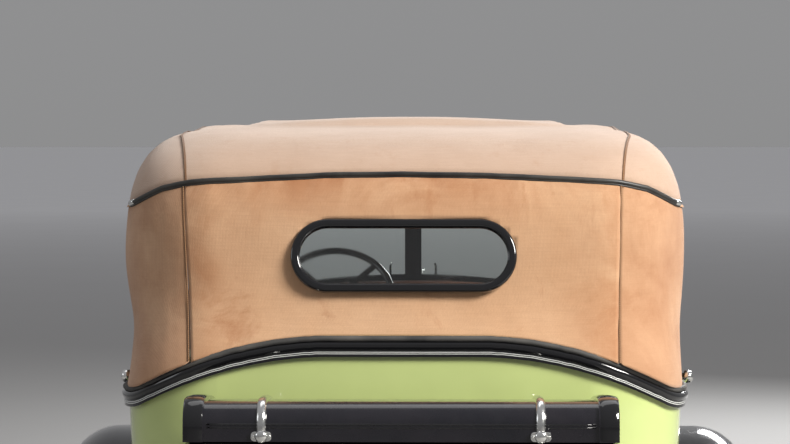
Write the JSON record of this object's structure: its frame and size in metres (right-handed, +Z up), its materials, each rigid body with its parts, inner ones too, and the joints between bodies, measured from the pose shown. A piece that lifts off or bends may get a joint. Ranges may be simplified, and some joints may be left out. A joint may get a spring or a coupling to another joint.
{
  "type": "1920s touring car",
  "caption": "Open touring car with folding top raised, rear trunk, side-mounted spare wheels, doors, steering and bonnet.",
  "frame": {"origin": "on the road, midway between the outer faces of the front and rear bumpers, on the car's centre line", "axes": "+X to the car's right, +Y forward, +Z up"},
  "size_m": [1.8616, 5.1196, 1.8316],
  "materials": {
    "body_paint": "glossy pale yellow-green enamel",
    "black_gloss": "deep gloss black enamel",
    "frame_black": "satin black chassis paint",
    "trunk_black": "blue-black gloss lacquer",
    "bright_plating": "polished plating",
    "cast_iron": "painted casting",
    "spring_steel": "dark spring steel",
    "exhaust_steel": "heat-darkened steel",
    "floor_wood": "oiled floor boards",
    "panel_wood": "dark panel",
    "bow_wood": "bent ash, varnished",
    "wheel_wood": "natural wood spokes with painted rim",
    "tyre_rubber": "black rubber",
    "board_rubber": "ribbed mat on a black board",
    "core_black": "dark honeycomb core",
    "window_glass": "clear flat glass",
    "seat_leather": "buttoned brown leather",
    "top_cloth": "tan canvas, stained"
  },
  "bodies": {
    "body": {"chassis_frame": "frame_black", "engine_block": "cast_iron", "rear_axle": "frame_black", "front_axle": "frame_black", "springs": "spring_steel", "exhaust": "exhaust_steel", "fuel_tank": "frame_black", "body_tub": "body_paint", "body_floor": "floor_wood", "cowl": "body_paint", "radiator_shell": "bright_plating", "radiator_core": "core_black", "fenders": "black_gloss", "running_boards": "board_rubber", "front_bumper": "bright_plating", "rear_bumper": "bright_plating", "headlamps": "bright_plating", "windshield_frame": "black_gloss", "glass": "window_glass", "rear_window_frame": "black_gloss", "instrument_panel": "panel_wood", "steering_column": "frame_black", "seats": "seat_leather", "top_fabric": "top_cloth", "top_frame": "bow_wood", "belt_moulding": "black_gloss", "trunk_body": "trunk_black", "trunk_rack": "frame_black", "spare_tyres": "tyre_rubber", "spare_wheels": "wheel_wood"},
    "tie_rod": {"tie_rod": "frame_black"},
    "steering_wheel": {"steering_wheel": "black_gloss"},
    "trunk_lid": {"trunk_lid": "trunk_black", "trunk_straps": "bright_plating"},
    "knuckle_right": {"knuckle_right": "frame_black"},
    "rear_door_right": {"rear_door_right": "body_paint"},
    "front_door_right": {"front_door_right": "body_paint"},
    "hood_top_right": {"hood_top_right": "body_paint"},
    "hood_side_right": {"hood_side_right": "body_paint"},
    "wheel_front_right": {"wheel_front_right": "wheel_wood", "tyre_front_right": "tyre_rubber"},
    "wheel_rear_right": {"wheel_rear_right": "wheel_wood", "tyre_rear_right": "tyre_rubber"},
    "knuckle_left": {"knuckle_left": "frame_black"},
    "rear_door_left": {"rear_door_left": "body_paint"},
    "front_door_left": {"front_door_left": "body_paint"},
    "hood_top_left": {"hood_top_left": "body_paint"},
    "hood_side_left": {"hood_side_left": "body_paint"},
    "wheel_front_left": {"wheel_front_left": "wheel_wood", "tyre_front_left": "tyre_rubber"},
    "wheel_rear_left": {"wheel_rear_left": "wheel_wood", "tyre_rear_left": "tyre_rubber"}
  },
  "joints": [
    {"name": "steer_left", "type": "hinge", "parent": "body", "child": "knuckle_left", "pos_m": [-0.6, 1.98, 0.425], "axis": [0, 0, 1], "range_deg": [-28, 28]},
    {"name": "steer_right", "type": "hinge", "parent": "body", "child": "knuckle_right", "pos_m": [0.6, 1.98, 0.425], "axis": [0, 0, 1], "range_deg": [-28, 28]},
    {"name": "tie_rod_swing", "type": "hinge", "parent": "knuckle_left", "child": "tie_rod", "pos_m": [-0.6, 1.83, 0.36], "axis": [0, 0, 1], "range_deg": [-28, 28]},
    {"name": "steering_wheel_turn", "type": "hinge", "parent": "body", "child": "steering_wheel", "pos_m": [-0.256, 0.13, 1.239], "axis": [0, -0.788, 0.6157], "range_deg": [-450, 450]},
    {"name": "trunk_lid_hinge", "type": "hinge", "parent": "body", "child": "trunk_lid", "pos_m": [0, -2.054, 1.0575], "axis": [-1, 0, 0], "range_deg": [0, 60]},
    {"name": "wheel_front_right_spin", "type": "hinge", "parent": "knuckle_right", "child": "wheel_front_right", "pos_m": [0.74, 1.98, 0.425], "axis": [1, 0, 0], "continuous": true},
    {"name": "wheel_rear_right_spin", "type": "hinge", "parent": "body", "child": "wheel_rear_right", "pos_m": [0.74, -1.27, 0.425], "axis": [1, 0, 0], "continuous": true},
    {"name": "front_door_right_hinge", "type": "hinge", "parent": "body", "child": "front_door_right", "pos_m": [0.70085, -0.0025, 0.86], "axis": [0, 0, -1], "range_deg": [0, 68]},
    {"name": "rear_door_right_hinge", "type": "hinge", "parent": "body", "child": "rear_door_right", "pos_m": [0.7062, -0.0825, 0.86], "axis": [0, 0, 1], "range_deg": [0, 68]},
    {"name": "hood_top_right_hinge", "type": "hinge", "parent": "body", "child": "hood_top_right", "pos_m": [0, 1.075, 1.245], "axis": [0, -0.9984, 0.0564], "range_deg": [0, 55]},
    {"name": "hood_side_right_hinge", "type": "hinge", "parent": "hood_top_right", "child": "hood_side_right", "pos_m": [0.49632, 1.085, 1.072], "axis": [0.23, -0.9731, 0.0112], "range_deg": [-27.5, 0]},
    {"name": "wheel_front_left_spin", "type": "hinge", "parent": "knuckle_left", "child": "wheel_front_left", "pos_m": [-0.74, 1.98, 0.425], "axis": [1, 0, 0], "continuous": true},
    {"name": "wheel_rear_left_spin", "type": "hinge", "parent": "body", "child": "wheel_rear_left", "pos_m": [-0.74, -1.27, 0.425], "axis": [1, 0, 0], "continuous": true},
    {"name": "front_door_left_hinge", "type": "hinge", "parent": "body", "child": "front_door_left", "pos_m": [-0.70085, -0.0025, 0.86], "axis": [0, 0, 1], "range_deg": [0, 68]},
    {"name": "rear_door_left_hinge", "type": "hinge", "parent": "body", "child": "rear_door_left", "pos_m": [-0.7062, -0.0825, 0.86], "axis": [0, 0, -1], "range_deg": [0, 68]},
    {"name": "hood_top_left_hinge", "type": "hinge", "parent": "body", "child": "hood_top_left", "pos_m": [0, 1.075, 1.245], "axis": [0, 0.9984, -0.0564], "range_deg": [0, 55]},
    {"name": "hood_side_left_hinge", "type": "hinge", "parent": "hood_top_left", "child": "hood_side_left", "pos_m": [-0.49632, 1.085, 1.072], "axis": [0.23, 0.9731, -0.0112], "range_deg": [-27.5, 0]}
  ],
  "couplings": [
    {"joint": "steer_right", "follows": "steer_left", "ratio": 1},
    {"joint": "tie_rod_swing", "follows": "steer_left", "ratio": -1},
    {"joint": "steering_wheel_turn", "follows": "steer_left", "ratio": 16},
    {"joint": "hood_side_right_hinge", "follows": "hood_top_right_hinge", "ratio": -0.5},
    {"joint": "hood_side_left_hinge", "follows": "hood_top_left_hinge", "ratio": -0.5}
  ]
}
